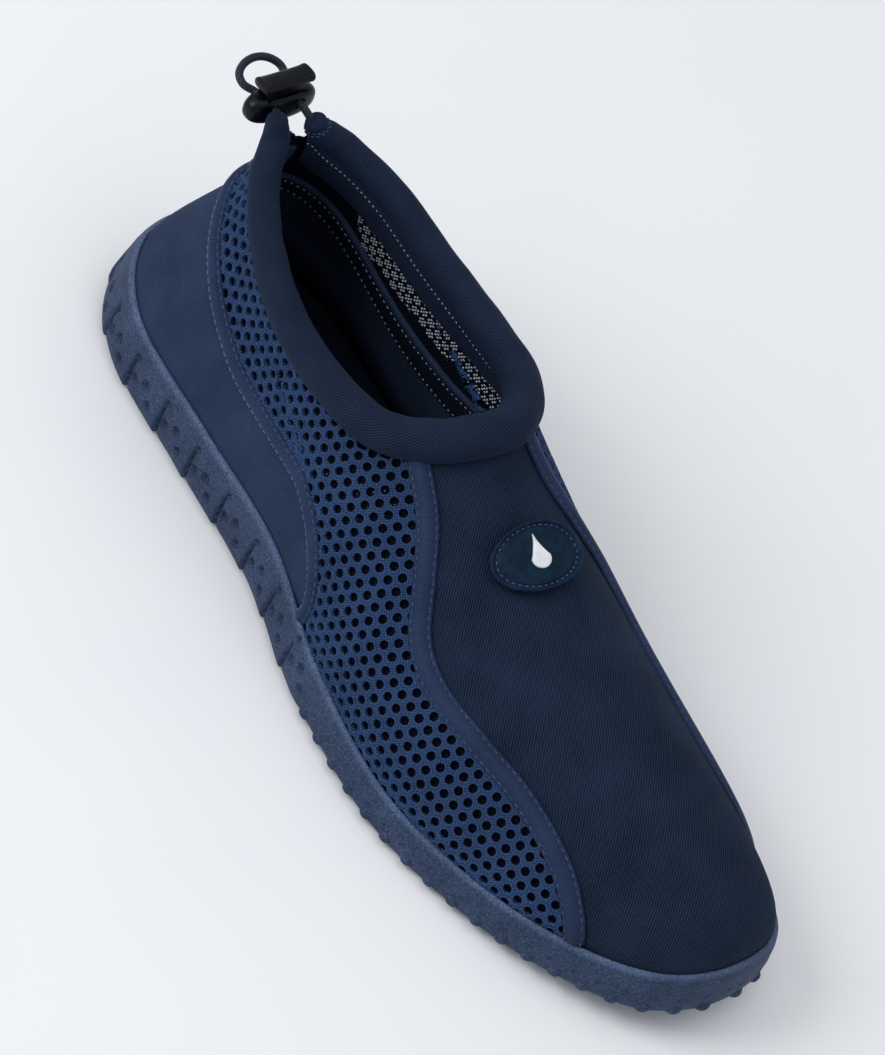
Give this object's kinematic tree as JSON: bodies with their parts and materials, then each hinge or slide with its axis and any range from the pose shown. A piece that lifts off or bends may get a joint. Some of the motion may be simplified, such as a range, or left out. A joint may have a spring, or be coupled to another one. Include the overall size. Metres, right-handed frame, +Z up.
{
  "type": "aqua shoe",
  "caption": "Low-cut slip-on water shoe for the right foot: rubber cup sole, neoprene and mesh upper, padded collar, elastic drawcord with a sprung lock.",
  "frame": {"origin": "on the ground, under the middle of the shoe's bounding box", "axes": "+X from heel to toe, +Y towards the inner side of the foot, +Z up"},
  "size_m": [0.2858, 0.0976, 0.0961],
  "materials": {
    "sole_rubber": "moulded, fine speckle",
    "lasting_board": "pressed fibre",
    "insole_foam": "EVA foam",
    "insole_sock": "fine knit",
    "neoprene_jersey": "jersey-faced neoprene",
    "vamp_twill": "fine diagonal twill over neoprene",
    "air_mesh": "open spacer mesh",
    "binding_ribbon": "woven ribbon",
    "collar_knit": "stretch knit",
    "collar_foam": "open-cell foam",
    "elastic_cord": "braided elastic, slight sheen",
    "badge_rubber": "moulded, satin",
    "badge_mark": "moulded, satin",
    "lock_plastic": "moulded, semi-gloss",
    "spring_steel": "drawn wire"
  },
  "bodies": {
    "shoe": {"outsole": "sole_rubber", "lasting_board": "lasting_board", "insole_foam": "insole_foam", "insole_sock": "insole_sock", "heel_panel": "neoprene_jersey", "mesh_panel_outer": "air_mesh", "mesh_panel_inner": "air_mesh", "vamp": "vamp_twill", "front_binding_outer": "binding_ribbon", "front_binding_inner": "binding_ribbon", "heel_binding": "binding_ribbon", "heel_seam_tape": "binding_ribbon", "collar_cover": "collar_knit", "collar_foam": "collar_foam", "collar_facing": "collar_knit", "drawcord": "elastic_cord", "badge_base": "badge_rubber", "badge_drop": "badge_mark"},
    "cord_lock": {"cord_lock_barrel": "lock_plastic", "cord_lock_spring": "spring_steel"},
    "plunger": {"cord_lock_plunger": "lock_plastic"}
  },
  "joints": [
    {"name": "lock_slide", "type": "slide", "parent": "shoe", "child": "cord_lock", "axis": [-0.9759, 0, -0.2181], "range_m": [0, 0.005], "deforming": ["drawcord"]},
    {"name": "plunger_press", "type": "slide", "parent": "cord_lock", "child": "plunger", "axis": [0.2181, 0, -0.9759], "range_m": [0, 0.0018], "stiffness_N_per_m": 600, "deforming": ["cord_lock_spring"]}
  ]
}
